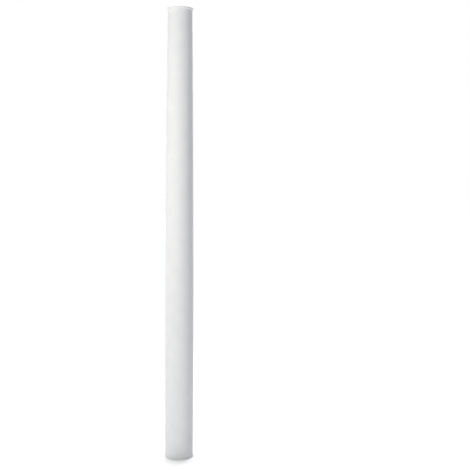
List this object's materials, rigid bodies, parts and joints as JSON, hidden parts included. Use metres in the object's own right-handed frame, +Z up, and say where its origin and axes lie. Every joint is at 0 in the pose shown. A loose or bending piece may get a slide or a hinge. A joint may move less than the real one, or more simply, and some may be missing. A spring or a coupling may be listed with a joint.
{
  "type": "column shaft",
  "caption": "Smooth round column shaft with a plain flat foot, a slight belly, a long curved taper to the neck, and a small concave flare under a thin lip at its flat top.",
  "frame": {"origin": "centre of the flat underside, on the shaft's axis", "axes": "+Z up along the shaft's axis, from the foot to the lip; X and Y are any two directions across it, because the shaft is round"},
  "size_m": [0.1536, 0.1536, 2.4],
  "materials": {
    "primed_foam": "matt white primer on moulded rigid foam"
  },
  "bodies": {
    "root": {"column_shaft": "primed_foam"}
  },
  "joints": []
}
